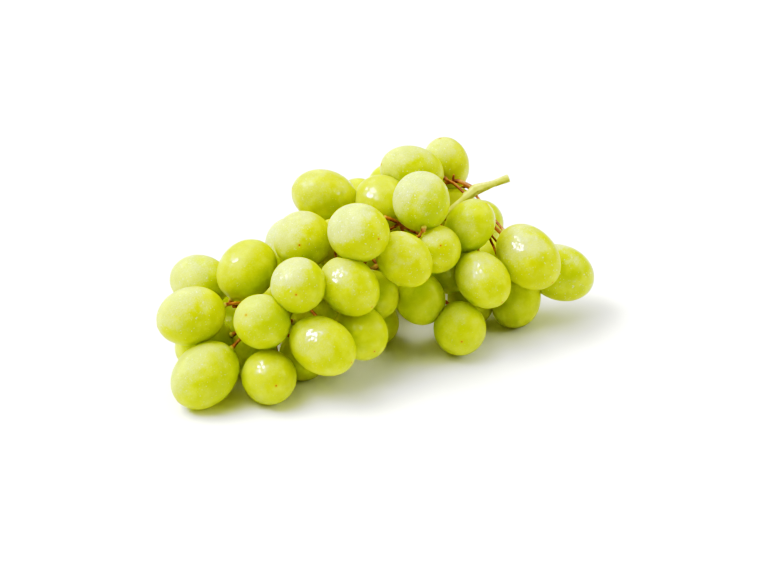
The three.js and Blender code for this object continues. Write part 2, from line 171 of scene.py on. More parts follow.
@dataclass
class Berry:
    """One berry of the frame: an ellipsoid, longest from its stem end to its blossom end. Metres."""

    spray: str
    middle: np.ndarray
    axis: np.ndarray
    half: float
    girth: float

    def skin(self, way: np.ndarray) -> float:
        """Returns how far the skin is from the middle along a unit direction."""
        along = float(self.axis @ way) ** 2
        return 1 / math.sqrt(along / self.half**2 + (1 - along) / self.girth**2)

    def in_ball(self, vectors: np.ndarray) -> np.ndarray:
        """Turns and scales vectors to where the berry is a ball of radius one."""
        return vectors @ self.turn() / (self.girth, self.girth, self.half)

    def hit(self, eye: np.ndarray, way: np.ndarray) -> float:
        """Follows a line of sight to the skin.

        Args:
            eye: where the line starts.
            way: its direction, of length one.

        Returns:
            How far from the eye it meets the skin, or infinity where it misses.
        """
        start = self.in_ball(eye - self.middle)
        step = self.in_ball(way)
        inside = (start @ step) ** 2 - (step @ step) * (start @ start - 1)
        if inside <= 0:
            return math.inf
        return (-(start @ step) - math.sqrt(inside)) / (step @ step)

    def shades(self, points: np.ndarray, way: np.ndarray) -> np.ndarray:
        """Finds the points that the berry shades from one direction.

        Args:
            points: the points, one in a row.
            way: the direction that the light comes from.

        Returns:
            For each point, whether the berry is in the way.
        """
        starts = self.in_ball(points - self.middle)
        step = self.in_ball(way)
        nearing = starts @ step
        inside = nearing**2 - (step @ step) * ((starts**2).sum(axis=1) - 1)
        return (inside > 0) & (np.sqrt(np.maximum(inside, 0.0)) > nearing)

    def turn(self) -> np.ndarray:
        """Works out how the berry lies.

        Returns:
            The rotation that lays Z along the axis, as three columns.
        """
        across = np.cross(self.axis, UP if abs(self.axis @ UP) < STEEP else ASIDE)
        across /= np.linalg.norm(across)
        return np.column_stack([across, np.cross(self.axis, across), self.axis])


@dataclass
class SprayReader:
    """Finds the single berries in the fused sprays of the frame."""

    crease: float = math.radians(50)
    fewest: int = 12
    apart: float = 5 * MM
    clear_of_floor: float = 0.02 * MM
    weld: float = 0.001 * MM
    level: float = 1e-6 * MM
    least: float = 1e-18

    def berries(self, node: bpy.types.Object, stem: np.ndarray) -> list[Berry]:
        """Reads every berry of one spray.

        Args:
            node: the spray's object in the frame.
            stem: the vertices of the frame's stem, which tell the two ends of a berry apart.

        Returns:
            The berries, those that show most skin first.
        """
        points, faces = self._welded(node.data)
        label = self._patches(points, faces)
        skins = []
        for patch in range(label.max() + 1):
            inner = points[np.setdiff1d(faces[label == patch], faces[label != patch])]
            skins.append(inner[inner[:, 2] > self.clear_of_floor])
        found = []
        for skin in sorted(skins, key=len, reverse=True):
            if len(skin) < self.fewest:
                break
            berry = self._fitted(node.name, skin, stem)
            if all(np.linalg.norm(berry.middle - other.middle) > self.apart for other in found):
                found.append(berry)
        return found

    def _welded(self, mesh: bpy.types.Mesh) -> tuple[np.ndarray, np.ndarray]:
        """Merges the doubled vertices of a mesh, on paper.

        Args:
            mesh: the mesh, which isn't changed.

        Returns:
            The single vertices, and the triangles on them.
        """
        mesh.calc_loop_triangles()
        corners = np.empty(len(mesh.loop_triangles) * 3, np.int32)
        mesh.loop_triangles.foreach_get("vertices", corners)
        points = points_of(mesh)
        steps = np.round(points / self.weld)
        _, first, same = np.unique(steps, axis=0, return_index=True, return_inverse=True)
        return points[first], same.ravel()[corners].reshape(-1, 3)

    def _patches(self, points: np.ndarray, faces: np.ndarray) -> np.ndarray:
        """Splits the triangles into patches that bulge gently outwards.

        Args:
            points: the vertices.
            faces: the triangles on them.

        Returns:
            The number of each triangle's patch.
        """
        near = self._smooth_neighbours(points, faces)
        label = np.full(len(faces), -1)
        for start in range(len(faces)):
            if label[start] >= 0:
                continue
            label[start] = label.max() + 1
            waiting = [start]
            while waiting:
                for face in near[waiting.pop()]:
                    if label[face] < 0:
                        label[face] = label[start]
                        waiting.append(face)
        return label

    def _smooth_neighbours(self, points: np.ndarray, faces: np.ndarray) -> dict[int, list[int]]:
        """Finds the triangles that run into each other without a crease.

        Args:
            points: the vertices.
            faces: the triangles on them.

        Returns:
            The smooth neighbours of each triangle.
        """
        corners = points[faces]
        normals = np.cross(corners[:, 1] - corners[:, 0], corners[:, 2] - corners[:, 0])
        normals /= np.maximum(np.linalg.norm(normals, axis=1), self.least)[:, None]
        middles = corners.mean(axis=1)
        owners = defaultdict(list)
        for face, (a, b, c) in enumerate(faces):
            for edge in ((a, b), (b, c), (c, a)):
                owners[min(edge), max(edge)].append(face)
        near = defaultdict(list)
        for one, other in (pair for pair in owners.values() if len(pair) == 2):
            bulges = (middles[other] - middles[one]) @ normals[one] < self.level
            if bulges and normals[one] @ normals[other] > math.cos(self.crease):
                near[one].append(other)
                near[other].append(one)
        return near

    @staticmethod
    def _fitted(spray: str, points: np.ndarray, stem: np.ndarray) -> Berry:
        """Fits an ellipsoid through points of one berry's skin.

        Args:
            spray: the name of the berry's node.
            points: points of its skin.
            stem: the vertices of the stem, the nearest of which marks the stem end.

        Returns:
            The berry.
        """
        centre = points.mean(axis=0)
        scale = np.abs(points - centre).max()
        x, y, z = ((points - centre) / scale).T
        terms = np.column_stack([x * x, y * y, z * z, 2 * x * y, 2 * x * z, 2 * y * z, 2 * x, 2 * y, 2 * z])
        xx, yy, zz, xy, xz, yz, *slope = np.linalg.lstsq(terms, np.ones(len(points)), rcond=None)[0]
        square = np.array([[xx, xy, xz], [xy, yy, yz], [xz, yz, zz]])
        offset = -np.linalg.solve(square, np.array(slope))
        values, ways = np.linalg.eigh(square / (1 + offset @ square @ offset))
        half, *girths = scale / np.sqrt(values)
        middle = centre + scale * offset
        axis = ways[:, 0]
        ends = [np.linalg.norm(stem - (middle + sign * half * axis), axis=1).min() for sign in (-1, 1)]
        return Berry(spray, middle, axis if ends[0] < ends[1] else -axis, half, sum(girths) / 2)


# Sight


@dataclass(frozen=True)
class Sight:
    """Where the photograph was taken from, in the frame."""

    aim: tuple[float, float, float] = (16.303 * MM, 22.269 * MM, 0.0)
    azimuth: float = math.radians(-20)
    elevation: float = math.radians(30)
    distance: float = 900 * MM
    pixel: float = 0.385 * MM
    frame: tuple[int, int] = (772, 579)
    sensor: float = 36.0

    def back(self) -> np.ndarray:
        """Works out which way the eye lies.

        Returns:
            The direction from the aim point to the eye.
        """
        level = math.cos(self.elevation)
        turn = self.azimuth
        return np.array((math.sin(turn) * level, -math.cos(turn) * level, math.sin(self.elevation)))

    def eye(self) -> np.ndarray:
        """Returns the place of the eye."""
        return np.array(self.aim) + self.back() * self.distance

    def through(self, pixel: tuple[float, float]) -> np.ndarray:
        """Works out where a pixel of the photograph looks.

        Args:
            pixel: the pixel, counted from the top left.

        Returns:
            The direction from the eye through it, of length one.
        """
        right = np.array((math.cos(self.azimuth), math.sin(self.azimuth), 0.0))
        across = (pixel[0] - self.frame[0] / 2) * self.pixel
        above = (self.frame[1] / 2 - pixel[1]) * self.pixel
        way = right * across + np.cross(self.back(), right) * above - self.back() * self.distance
        return way / np.linalg.norm(way)

    def at_height(self, across: float, down: float, height: float) -> np.ndarray:
        """Returns the place at a height that a pixel shows."""
        way = self.through((across, down))
        return self.eye() + way * (height - self.eye()[2]) / way[2]

    def camera(self) -> bpy.types.Object:
        """Sets up the camera.

        Returns:
            The scene's camera.
        """
        bpy.ops.object.camera_add(location=self.eye())
        camera = bpy.context.object
        camera.rotation_euler = Vector(-self.back()).to_track_quat("-Z", "Y").to_euler()
        camera.data.sensor_width = self.sensor
        camera.data.lens = self.sensor * self.distance / (self.pixel * self.frame[0])
        bpy.context.scene.camera = camera
        return camera


# Finishes


@dataclass(frozen=True)
class Mottle:
    """Soft noise cut to a mask: the size, detail and roughness of its blots, and what it turns into what."""

    size: float
    detail: float = 2.0
    rough: float = 0.5
    between: Span = (0.3, 0.7)
    gives: Span = (0.0, 1.0)


class NodeTree:
    """A material's nodes, added and joined with short calls."""

    def __init__(self, name: str) -> None:
        """Makes an empty material.

        Args:
            name: the material's name.
        """
        self.material = bpy.data.materials.new(name)
        self.material.use_nodes = True
        self.nodes = self.material.node_tree.nodes
        self.nodes.clear()

    def add(self, kind: str, inputs: dict | None = None, **settings: object) -> bpy.types.Node:
        """Adds one node.

        Args:
            kind: the node's type, without its ShaderNode prefix.
            inputs: socket name or number to a constant or to another node's output.
            settings: properties of the node itself.

        Returns:
            The node.
        """
        node = self.nodes.new("ShaderNode" + kind)
        for key, value in settings.items():
            setattr(node, key, value)
        for key, value in (inputs or {}).items():
            if isinstance(value, bpy.types.NodeSocket):
                self.material.node_tree.links.new(value, node.inputs[key])
            else:
                node.inputs[key].default_value = value
        return node

    def place(self) -> bpy.types.NodeSocket:
        """Returns the place of the shaded point, in the object's own space."""
        return self.add("TexCoord").outputs["Object"]

    def trait(self, trait: Trait) -> bpy.types.NodeSocket:
        """Returns a mesh attribute."""
        return self.add("Attribute", attribute_name=trait.value).outputs["Fac"]

    def noise(self, mottle: Mottle) -> bpy.types.NodeSocket:
        """Returns the soft noise of a mottle, before it is cut.

        Args:
            mottle: the size, fineness and roughness of the noise.

        Returns:
            A value about one half, with blots of about that size.
        """
        inputs = {
            "Vector": self.place(),
            "Scale": 1 / mottle.size,
            "Detail": mottle.detail,
            "Roughness": mottle.rough,
        }
        return self.add("TexNoise", inputs).outputs["Fac"]

    def mask(self, mottle: Mottle) -> bpy.types.NodeSocket:
        """Returns a mottle, cut to its mask."""
        return self.ramp(self.noise(mottle), mottle.between, mottle.gives)

    def ramp(
        self, value: bpy.types.NodeSocket, between: Span, gives: Span = (0.0, 1.0)
    ) -> bpy.types.NodeSocket:
        """Turns one stretch of values into another, smoothly and held at both ends.

        Args:
            value: the value to turn.
            between: the two values where the stretch starts and ends.
            gives: what those two become.

        Returns:
            The turned value.
        """
        ends = {"From Min": between[0], "From Max": between[1], "To Min": gives[0], "To Max": gives[1]}
        node = self.add("MapRange", {"Value": value, **ends}, interpolation_type="SMOOTHSTEP")
        return node.outputs["Result"]

    def maths(self, operation: str, *values: object) -> bpy.types.NodeSocket:
        """Returns the sum, product or the like of the values."""
        return self.add("Math", dict(enumerate(values)), operation=operation).outputs["Value"]

    def blend(self, share: object, one: object, other: object) -> bpy.types.NodeSocket:
        """Mixes two colours.

        Args:
            share: how much of the second one shows, as a number or a socket.
            one: the first colour or its socket.
            other: the second colour or its socket.

        Returns:
            The mixed colour.
        """
        node = self.add("Mix", data_type="RGBA")
        ends = {"Factor": share, "A": one, "B": other}
        for socket in node.inputs:
            if socket.enabled and socket.name in ends:
                value = ends[socket.name]
                if isinstance(value, bpy.types.NodeSocket):
                    self.material.node_tree.links.new(value, socket)
                else:
                    socket.default_value = (*value, 1.0) if isinstance(value, tuple) else value
        return next(socket for socket in node.outputs if socket.enabled)

    def finish(self, shader: bpy.types.Node) -> bpy.types.Material:
        """Joins the last shader to the material's output."""
        self.add("OutputMaterial", {"Surface": shader.outputs[0]})
        return self.material


@dataclass(frozen=True)
class SkinFinish:
    """Translucent yellow-green skin, milky in patches, with a thin bloom painted paler towards the light as a
    highlight, wet here and there.
    """

    ripe: Colour = linear(180, 184, 18)
    fresh: Colour = linear(166, 182, 14)
    cloud: Colour = linear(204, 212, 84)
    # pale colour of the bloom, also laid as a highlight painted on the side towards the light
    bloom_and_sheen: Colour = linear(216, 219, 188)
    scar: Colour = linear(168, 88, 8)
    rim: Colour = linear(184, 164, 30)
    let_through: Colour = (0.42, 0.405, 0.006)
    gloss_tint: Colour = (1.0, 1.0, 0.5)
    scar_mm: float = 0.5
    rim_mm: float = 1.1
    rim_share: float = 0.6
    rubbed_roughness: float = 0.35
    dusty_roughness: float = 0.6
    dusty_from: float = 0.3
    gloss: float = 0.3
    depth: Colour = (1.15, 1.0, 0.08)
    depth_size: float = 18 * MM
    tone: Mottle = Mottle(14 * MM, gives=(-0.2, 0.2))
    clouds: Mottle = Mottle(5 * MM, 5.0, 0.6, between=(0.4, 0.7), gives=(0.0, 0.6))
    haze_edge: Mottle = Mottle(8 * MM, 6.0, 0.65)
    haze_ragged: float = 2.2
    haze_between: Span = (0.2, 0.8)
    grain: Mottle = Mottle(0.5 * MM, gives=(0.7, 1.3))
    grain_strength: float = 0.12
    grain_height: float = 0.08 * MM
    # white specks in the base colour: partly dust, partly painted glints
    specks_and_glints: Mottle = Mottle(0.7 * MM, 0.0, between=(0.73, 0.79), gives=(0.0, 1.5))
    drops: Mottle = Mottle(2.4 * MM, 0.0)
    drop_height: float = 0.7 * MM
    film: Mottle = Mottle(1.3 * MM, 1.0, between=(0.46, 0.54), gives=(0.1, 1.0))
    film_roughness: float = 0.1
    film_index: float = 2.0

    def material(self) -> bpy.types.Material:
        """Builds the skin, which lets tinted light through to what lies behind a berry.

        Returns:
            The skin's material.
        """
        tree = NodeTree("grape_skin")
        bloom_and_sheen = self._bloom_and_sheen(tree)
        roughness = (self.rubbed_roughness, self.dusty_roughness)
        grain = tree.add(
            "Bump",
            {
                "Height": tree.noise(self.grain),
                "Strength": self.grain_strength,
                "Distance": self.grain_height,
            },
        )
        drops = tree.add("Bump", {"Height": tree.noise(self.drops), "Distance": self.drop_height})
        skin = tree.add(
            "BsdfPrincipled",
            {
                "Base Color": self._colour(tree, bloom_and_sheen),
                "Roughness": tree.ramp(bloom_and_sheen, (0.0, self.dusty_from), roughness),
                "Specular IOR Level": self.gloss,
                "Specular Tint": (*self.gloss_tint, 1.0),
                "Normal": grain.outputs["Normal"],
                "Subsurface Weight": tree.maths("SUBTRACT", 1.0, bloom_and_sheen),
                "Subsurface Radius": self.depth,
                "Subsurface Scale": self.depth_size,
                "Coat Weight": tree.maths("MULTIPLY", tree.mask(self.film), tree.trait(Trait.WET)),
                "Coat Roughness": self.film_roughness,
                "Coat IOR": self.film_index,
                "Coat Normal": drops.outputs["Normal"],
            },
        )
        through = tree.add("BsdfTransparent", {"Color": (*self.let_through, 1.0)})
        for_lamps = tree.add("LightPath").outputs["Is Shadow Ray"]
        return tree.finish(tree.add("MixShader", {0: for_lamps, 1: skin.outputs[0], 2: through.outputs[0]}))

    def _colour(self, tree: NodeTree, bloom_and_sheen: bpy.types.NodeSocket) -> bpy.types.NodeSocket:
        """Colours the skin: flesh that varies, pale clouds, the bloom with its painted highlight, and the
        scar at the blossom end.

        Args:
            tree: the skin's nodes.
            bloom_and_sheen: how thick the bloom and its painted highlight are.

        Returns:
            The colour.
        """
        ripeness = tree.maths("ADD", tree.trait(Trait.TONE), tree.mask(self.tone))
        flesh = tree.blend(ripeness, self.fresh, self.ripe)
        flesh = tree.blend(tree.mask(self.clouds), flesh, self.cloud)
        flesh = tree.blend(bloom_and_sheen, flesh, self.bloom_and_sheen)
        blossom = tree.trait(Trait.BLOSSOM)
        rim = tree.ramp(blossom, (self.scar_mm, self.rim_mm), (self.rim_share, 0.0))
        scar = tree.ramp(blossom, (self.scar_mm / 2, self.scar_mm), (1.0, 0.0))
        return tree.blend(scar, tree.blend(rim, flesh, self.rim), self.scar)

    def _bloom_and_sheen(self, tree: NodeTree) -> bpy.types.NodeSocket:
        """Lays the bloom and a painted highlight: a haze with ragged edges where the skin faces the light,
        with grain and specks.

        Args:
            tree: the skin's nodes.

        Returns:
            How thick the bloom and its painted highlight are.
        """
        # painted highlight: the haze follows the trait that is strongest where the skin faces the light
        edge = tree.noise(self.haze_edge)
        ragged = tree.maths("MULTIPLY_ADD", edge, self.haze_ragged, -self.haze_ragged / 2)
        haze = tree.ramp(tree.maths("ADD", tree.trait(Trait.BLOOM), ragged), self.haze_between)
        grainy_bloom_and_highlight = tree.maths("MULTIPLY", haze, tree.mask(self.grain))
        bloom_and_highlight = tree.maths("ADD", grainy_bloom_and_highlight, tree.mask(self.specks_and_glints))
        return tree.maths("MULTIPLY", bloom_and_highlight, tree.trait(Trait.HAZE))


@dataclass(frozen=True)
class StemFinish:
    """Green where the stem is thick, and brown, dry wood where it is thin."""

    green: Colour = linear(214, 212, 112)
    olive: Colour = linear(190, 188, 72)
    brown: Colour = linear(186, 122, 40)
    dark: Colour = linear(122, 64, 16)
    bark: Mottle = Mottle(2.5 * MM, 4.0, 0.6)
    dry_between: Span = (0.35, 0.65)
    fresh_between: Span = (0.3, 0.7)
    green_from_mm: Span = (1.7, 2.4)
    bark_strength: float = 0.4
    bark_height: float = 0.2 * MM
    roughness: float = 0.55
    glow: float = 0.2
    glow_depth: Colour = (1.0, 0.8, 0.2)
    glow_size: float = 0.6 * MM

    def material(self) -> bpy.types.Material:
        """Builds the wood.

        Returns:
            The wood's material.
        """
        tree = NodeTree("grape_stem")
        mottle = tree.noise(self.bark)
        wood = tree.blend(tree.ramp(mottle, self.dry_between), self.dark, self.brown)
        fresh = tree.blend(tree.ramp(mottle, self.fresh_between), self.olive, self.green)
        greenness = tree.ramp(tree.trait(Trait.THICK), self.green_from_mm)
        bump = tree.add(
            "Bump", {"Height": mottle, "Strength": self.bark_strength, "Distance": self.bark_height}
        )
        bark = tree.add(
            "BsdfPrincipled",
            {
                "Base Color": tree.blend(greenness, wood, fresh),
                "Roughness": self.roughness,
                "Subsurface Weight": self.glow,
                "Subsurface Radius": self.glow_depth,
                "Subsurface Scale": self.glow_size,
                "Normal": bump.outputs["Normal"],
            },
        )
        return tree.finish(bark)


# Berries


@dataclass(frozen=True)
class WetSpot:
    """A wet patch of skin: the pixel of the photograph that shows it, its radius and how wet it is."""

    pixel: tuple[float, float]
    radius: float
    wetness: float = 1.0


@dataclass(frozen=True)
class HazyBerry:
    """A berry with a bloom of its own, and with it a painted highlight: a pixel of the photograph that shows
    it, and the bloom's thickness.
    """

    pixel: tuple[float, float]
    haze: float


@dataclass
class BerryForm:
    """A smooth berry, modelled once with Z towards its blossom end and copied to every place."""

    sides: int = 48
    rings: int = 32
    dimple: float = 0.04
    dimple_reach: float = 0.3
    tip: float = 0.015
    tip_reach: float = 0.16
    lump: float = 0.012
    lump_waves: int = 5
    lump_pace: float = 2.2
    gap: float = 0.04 * MM
    seed: int = 11
    pole_cut: float = 0.9999
    tone: Span = (0.2, 0.8)
    haze: Span = (0.04, 0.14)
    # the bloom is painted paler as a highlight on the side towards the light, and thinner where other berries
    # shade it from the lamps
    bloom_facing_away: float = -0.1
    bloom_in_shade: float = 0.15
    towards_light: tuple[float, float, float] = LIT_FROM
    facing_light_from: Span = (-0.1, 0.9)
    light_ways: tuple[tuple[float, float, float], ...] = (
        LIT_FROM,
        (-0.3, -0.5, 0.81),
        (-0.9, 0.1, 0.42),
        (0.0, 0.0, 1.0),
    )
    damp: Span = (0.0, 0.12)
    wet_edge: float = 1.5
    sight: Sight = field(default_factory=Sight)
    wet_spots: tuple[WetSpot, ...] = (
        WetSpot((311, 335), 6.0 * MM),
        WetSpot((515, 245), 6.5 * MM),
        WetSpot((337, 275), 5.5 * MM),
        WetSpot((322, 240), 2.5 * MM),
        WetSpot((380, 232), 2.0 * MM, 0.6),
        WetSpot((342, 197), 3.0 * MM),
        WetSpot((367, 196), 4.5 * MM),
        WetSpot((437, 207), 2.0 * MM, 0.7),
        WetSpot((475, 268), 5.5 * MM),
        WetSpot((258, 368), 5.5 * MM),
        WetSpot((285, 377), 2.0 * MM, 0.6),
        WetSpot((284, 273), 3.5 * MM, 0.5),
        WetSpot((234, 263), 3.5 * MM, 0.7),
    )
    hazy_berries: tuple[HazyBerry, ...] = (
        HazyBerry((421, 200), 0.36),
        HazyBerry((298, 285), 0.34),
        HazyBerry((359, 231), 0.34),
        HazyBerry((303, 240), 0.28),
        HazyBerry((323, 196), 0.16),
        HazyBerry((412, 165), 0.26),
        HazyBerry((446, 150), 0.26),
        HazyBerry((200, 275), 0.26),
        HazyBerry((191, 316), 0.26),
        HazyBerry((205, 375), 0.2),
        HazyBerry((262, 322), 0.2),
        HazyBerry((322, 350), 0.16),
        HazyBerry((349, 288), 0.22),
        HazyBerry((404, 259), 0.24),
        HazyBerry((438, 250), 0.28),
        HazyBerry((468, 228), 0.2),
        HazyBerry((483, 280), 0.24),
        HazyBerry((529, 256), 0.28),
        HazyBerry((575, 275), 0.4),
        HazyBerry((268, 243), 0.4),
    )
    finish: SkinFinish = field(default_factory=SkinFinish)

    def model(self) -> bpy.types.Object:
        """Models the berry with a radius of one, dimpled where the stalk sits.

        Returns:
            The model.
        """
        bpy.ops.object.select_all(action="DESELECT")
        bpy.ops.mesh.primitive_uv_sphere_add(segments=self.sides, ring_count=self.rings, radius=1.0)
        form = bpy.context.object
        form.name = "berry_form"
        self._pull(form, -1.0, self.dimple, self.dimple_reach)
        self._pull(form, 1.0, self.tip, self.tip_reach)
        return form

    def _pull(self, form: bpy.types.Object, pole: float, lift: float, reach: float) -> None:
        """Lifts one pole of the berry and, less, the skin round it.

        Args:
            form: the berry being modelled.
            pole: -1 for the stem end and 1 for the blossom end.
            lift: how far the pole goes up Z.
            reach: how far round it the skin follows.
        """
        for vertex in form.data.vertices:
            vertex.select = vertex.co.z * pole > self.pole_cut
        for edge in form.data.edges:
            edge.select = False
        for face in form.data.polygons:
            face.select = False
        bpy.ops.object.mode_set(mode="EDIT")
        bpy.ops.mesh.select_mode(type="VERT")
        bpy.ops.transform.translate(
            value=(0.0, 0.0, lift),
            use_proportional_edit=True,
            proportional_edit_falloff="SMOOTH",
            proportional_size=reach,
        )
        bpy.ops.object.mode_set(mode="OBJECT")

    def copies(self, berries: list[Berry]) -> list[bpy.types.Object]:
        """Sets a copy in the place of every berry, and takes the model away.

        Args:
            berries: the berries of the frame.

        Returns:
            One object for each berry, in the same order.
        """
        form = self.model()
        ball = points_of(form.data)
        material = self.finish.material()
        chance = np.random.default_rng(self.seed)
        wet = self._wet_places(berries)
        hazes = self._hazes(berries, chance)
        made = []
        for number, berry in enumerate(berries):
            mesh = form.data.copy()
            mesh.name = f"berry_{number + 1:02d}"
            points = self._pressed(self._placed(ball, berry, chance), berry, berries)
            move_points(mesh, points)
            others = [other for other in berries if other is not berry]
            self._mark(mesh, ball, berry, chance, self._open(points, others))
            write_trait(mesh, Trait.HAZE, np.full(len(ball), hazes[number]))
            damp = chance.uniform(*self.damp)
            write_trait(mesh, Trait.WET, np.maximum(damp, self._wetness(points, wet[number])))
            mesh.materials.append(material)
            piece = bpy.data.objects.new(mesh.name, mesh)
            bpy.context.scene.collection.objects.link(piece)
            only(piece)
            bpy.ops.object.shade_smooth()
            hand_over(piece, berry.spray)
            made.append(piece)
        bpy.data.objects.remove(form)
        return made

    def _hazes(self, berries: list[Berry], chance: np.random.Generator) -> np.ndarray:
        """Chooses how much bloom, with its painted highlight, the berries have.

        Args:
            berries: the berries of the frame.
            chance: the source of what differs from berry to berry.

        Returns:
            How thick the bloom and its painted highlight are on every berry.
        """
        hazes = chance.uniform(*self.haze, len(berries))
        for hazy in self.hazy_berries:
            number, _ = self._seen_at(hazy.pixel, berries)
            hazes[number] = hazy.haze
        return hazes

    def _placed(self, ball: np.ndarray, berry: Berry, chance: np.random.Generator) -> np.ndarray:
        """Brings the model to one berry's place and size, a little uneven.

        Args:
            ball: the model's points.
            berry: the berry of the frame.
            chance: the source of its unevenness.

        Returns:
            The berry's points.
        """
        bulge = np.zeros(len(ball))
        for _ in range(self.lump_waves):
            wave = chance.normal(0.0, self.lump_pace, 3)
            bulge += np.sin(ball @ wave + chance.uniform(0.0, 2 * math.pi)) / self.lump_waves
        sized = ball * (1 + self.lump * bulge)[:, None] * (berry.girth, berry.girth, berry.half)
        return berry.middle + sized @ berry.turn().T

    def _pressed(self, points: np.ndarray, berry: Berry, berries: list[Berry]) -> np.ndarray:
        """Flattens a berry against the neighbours that press on it and against the surface.

        Args:
            points: the berry's points.
            berry: the berry of the frame.
            berries: all berries of the frame.

        Returns:
            The flattened points.
        """
        for other in berries:
            way = other.middle - berry.middle
            distance = np.linalg.norm(way)
            if other is berry or distance > berry.half + other.half:
                continue
            way /= distance
            reach = berry.skin(way)
            overlap = reach + other.skin(way) - distance
            if overlap > 0:
                beyond = (points - berry.middle) @ way - (reach - overlap / 2 - self.gap)
                points = points - np.outer(np.maximum(beyond, 0.0), way)
        points[:, 2] = np.maximum(points[:, 2], 0.0)
        return points

    def _wet_places(self, berries: list[Berry]) -> list[list[tuple[np.ndarray, WetSpot]]]:
        """Finds the wet places on the berries.

        Args:
            berries: the berries of the frame.

        Returns:
            For every berry, the places on its skin that are wet, each with its spot.
        """
        places = [[] for _ in berries]
        for spot in self.wet_spots:
            number, place = self._seen_at(spot.pixel, berries)
            places[number].append((place, spot))
        return places

    def _seen_at(self, pixel: tuple[float, float], berries: list[Berry]) -> tuple[int, np.ndarray]:
        """Finds what a pixel of the photograph shows.

        Args:
            pixel: the pixel, counted from the top left.
            berries: the berries of the frame.

        Returns:
            The number of the berry that it shows, and the place on its skin.
        """
        eye = self.sight.eye()
        way = self.sight.through(pixel)
        hits = [berry.hit(eye, way) for berry in berries]
        nearest = int(np.argmin(hits))
        return nearest, eye + way * hits[nearest]

    def _wetness(self, points: np.ndarray, places: list[tuple[np.ndarray, WetSpot]]) -> np.ndarray:
        """Works out how wet a berry is.

        Args:
            points: the berry's points.
            places: its wet places, each with its spot.

        Returns:
            How wet each point is, from 0 to 1.
        """
        wet = np.zeros(len(points))
        for place, spot in places:
            far = np.linalg.norm(points - place, axis=1) / spot.radius
            soft = np.clip(self.wet_edge - self.wet_edge * far, 0.0, 1.0)
            wet = np.maximum(wet, spot.wetness * soft)
        return wet

    def _open(self, points: np.ndarray, others: list[Berry]) -> np.ndarray:
        """Works out how open a berry lies to the light from above.

        Args:
            points: the berry's points.
            others: the other berries.

        Returns:
            The share of the light's ways that is free at each point, from 0 to 1.
        """
        blocked = np.zeros(len(points))
        for way in np.array(self.light_ways):
            blocked += np.any([other.shades(points, way) for other in others], axis=0)
        return 1 - blocked / len(self.light_ways)

    def _mark(
        self,
        mesh: bpy.types.Mesh,
        ball: np.ndarray,
        berry: Berry,
        chance: np.random.Generator,
        free: np.ndarray,
    ) -> None:
        """Stores what the skin needs to know of one berry.

        Args:
            mesh: the berry's mesh.
            ball: the points of the model that it was copied from.
            berry: the berry of the frame.
            chance: the source of what differs from berry to berry.
            free: how far each point lies open to the light.
        """
        across = np.linalg.norm(ball[:, :2], axis=1) * berry.girth / MM
        far = berry.half / MM
        write_trait(mesh, Trait.BLOSSOM, np.where(ball[:, 2] > 0, across, far))
        write_trait(mesh, Trait.TONE, np.full(len(ball), chance.uniform(*self.tone)))
        # painted highlight and shade: the bloom grows on the side that faces the light and thins where other
        # berries stand in the light's way
        outward = ball @ berry.turn().T
        facing_light = np.interp(outward @ self.towards_light, self.facing_light_from, (self.bloom_facing_away, 1.0))
        unshaded_factor = np.interp(free, (0.0, 1.0), (self.bloom_in_shade, 1.0))
        write_trait(mesh, Trait.BLOOM, facing_light * unshaded_factor)


# Stem


@dataclass
class StemForm:
    """The branched stem, refined from the frame's."""

    weld: float = 0.01 * MM
    grain: float = 0.3 * MM
    smooth_share: float = 0.5
    smooth_rounds: int = 3
    start_share: float = 0.25
    finish: StemFinish = field(default_factory=StemFinish)

    def build(self, node: bpy.types.Object) -> bpy.types.Object:
        """Refines a copy of the frame's stem.

        Args:
            node: the stem's object in the frame.

        Returns:
            The finished stem.
        """
        piece = bpy.data.objects.new("stem_wood", node.data.copy())
        bpy.context.scene.collection.objects.link(piece)
        merge_doubles(piece, self.weld)
        rounded = piece.modifiers.new("rounded", "REMESH")
        rounded.mode = "VOXEL"
        rounded.voxel_size = self.grain
        bpy.ops.object.modifier_apply(modifier=rounded.name)
        eased = piece.modifiers.new("eased", "SMOOTH")
        eased.factor = self.smooth_share
        eased.iterations = self.smooth_rounds
        bpy.ops.object.modifier_apply(modifier=eased.name)
        self._drop_specks(piece)
        bpy.ops.object.shade_smooth()
        write_trait(piece.data, Trait.THICK, self._thickness(piece.data))
        piece.data.materials.clear()
        piece.data.materials.append(self.finish.material())
        hand_over(piece, STEM_NODE)
        return piece

    @staticmethod
    def _drop_specks(piece: bpy.types.Object) -> None:
        """Deletes every loose bit that isn't joined to the stalk's cut end.

        Args:
            piece: the stem, which lies with its cut end furthest along X.
        """
        bpy.ops.object.mode_set(mode="EDIT")
        bpy.ops.mesh.select_mode(type="VERT")
        bpy.ops.mesh.select_all(action="DESELECT")
        bpy.ops.object.mode_set(mode="OBJECT")
        max(piece.data.vertices, key=lambda vertex: vertex.co.x).select = True
        bpy.ops.object.mode_set(mode="EDIT")
        bpy.ops.mesh.select_linked()
        bpy.ops.mesh.select_all(action="INVERT")
        bpy.ops.mesh.delete(type="VERT")
        bpy.ops.object.mode_set(mode="OBJECT")

    def _thickness(self, mesh: bpy.types.Mesh) -> np.ndarray:
        """Measures how thick the stem is, straight through it.

        Args:
            mesh: the stem's mesh.

        Returns:
            The thickness under each vertex, in millimetres.
        """
        places = [vertex.co for vertex in mesh.vertices]
        tree = BVHTree.FromPolygons(places, [tuple(face.vertices) for face in mesh.polygons])
        thick = np.empty(len(mesh.vertices))
        for vertex in mesh.vertices:
            inward = -vertex.normal
            hit = tree.ray_cast(vertex.co + inward * (self.grain * self.start_share), inward)
            thick[vertex.index] = (hit[3] or 0.0) / MM
        return thick


@dataclass(frozen=True)
class Twig:
    """A thin twig: its radius at both ends, and the pixel and height of each point that it runs through."""

    name: str
    radius: tuple[float, float]
    route: tuple[tuple[float, float, float], ...]


